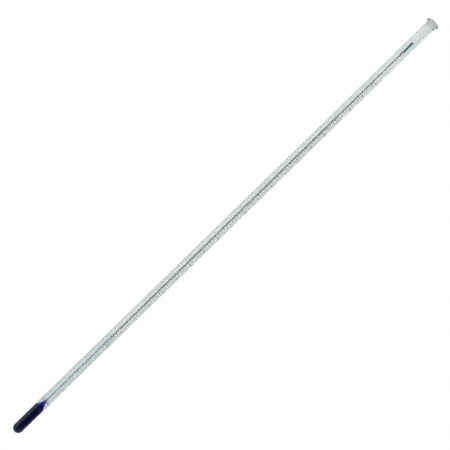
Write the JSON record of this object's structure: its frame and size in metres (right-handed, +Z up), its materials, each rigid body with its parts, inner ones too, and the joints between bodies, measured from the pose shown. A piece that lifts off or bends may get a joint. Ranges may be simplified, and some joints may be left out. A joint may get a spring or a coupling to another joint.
{
  "type": "glass spirit thermometer",
  "caption": "Slim glass stick thermometer: sealed stem with blue spirit in a fine bore, round bulb, printed Celsius scale and a flanged glass end.",
  "frame": {"origin": "tip of the bulb, on the stem's axis", "axes": "+Z up the stem from bulb to button, -Y out of the front, where the scale lines start, +X to the right of someone who reads the scale, towards the numbers"},
  "size_m": [0.0074, 0.0074, 0.3],
  "materials": {
    "clear_glass": "clear, smooth, faintly green",
    "opal_glass": "opaque white strip inside the stem",
    "blue_spirit": "dyed liquid, nearly black where it is thick",
    "scale_ink": "fired black scale ink, slightly worn"
  },
  "bodies": {
    "thermometer": {"stem": "clear_glass", "bulb": "clear_glass", "top_button": "clear_glass", "backing_strip": "opal_glass", "bulb_spirit": "blue_spirit", "spirit_thread": "blue_spirit", "chamber_spirit": "blue_spirit", "five_degree_lines": "scale_ink", "one_degree_lines": "scale_ink", "unit_mark": "scale_ink", "numeral_0": "scale_ink", "numeral_10": "scale_ink", "numeral_20": "scale_ink", "numeral_30": "scale_ink", "numeral_40": "scale_ink", "numeral_50": "scale_ink", "numeral_60": "scale_ink", "numeral_70": "scale_ink", "numeral_80": "scale_ink", "numeral_90": "scale_ink", "numeral_100": "scale_ink"},
    "thread_top": {"thread_head": "blue_spirit"}
  },
  "joints": [
    {"name": "spirit_rise", "type": "slide", "parent": "thermometer", "child": "thread_top", "axis": [0, 0, 1], "range_m": [-0.005, 0.1863], "deforming": ["spirit_thread"]}
  ]
}
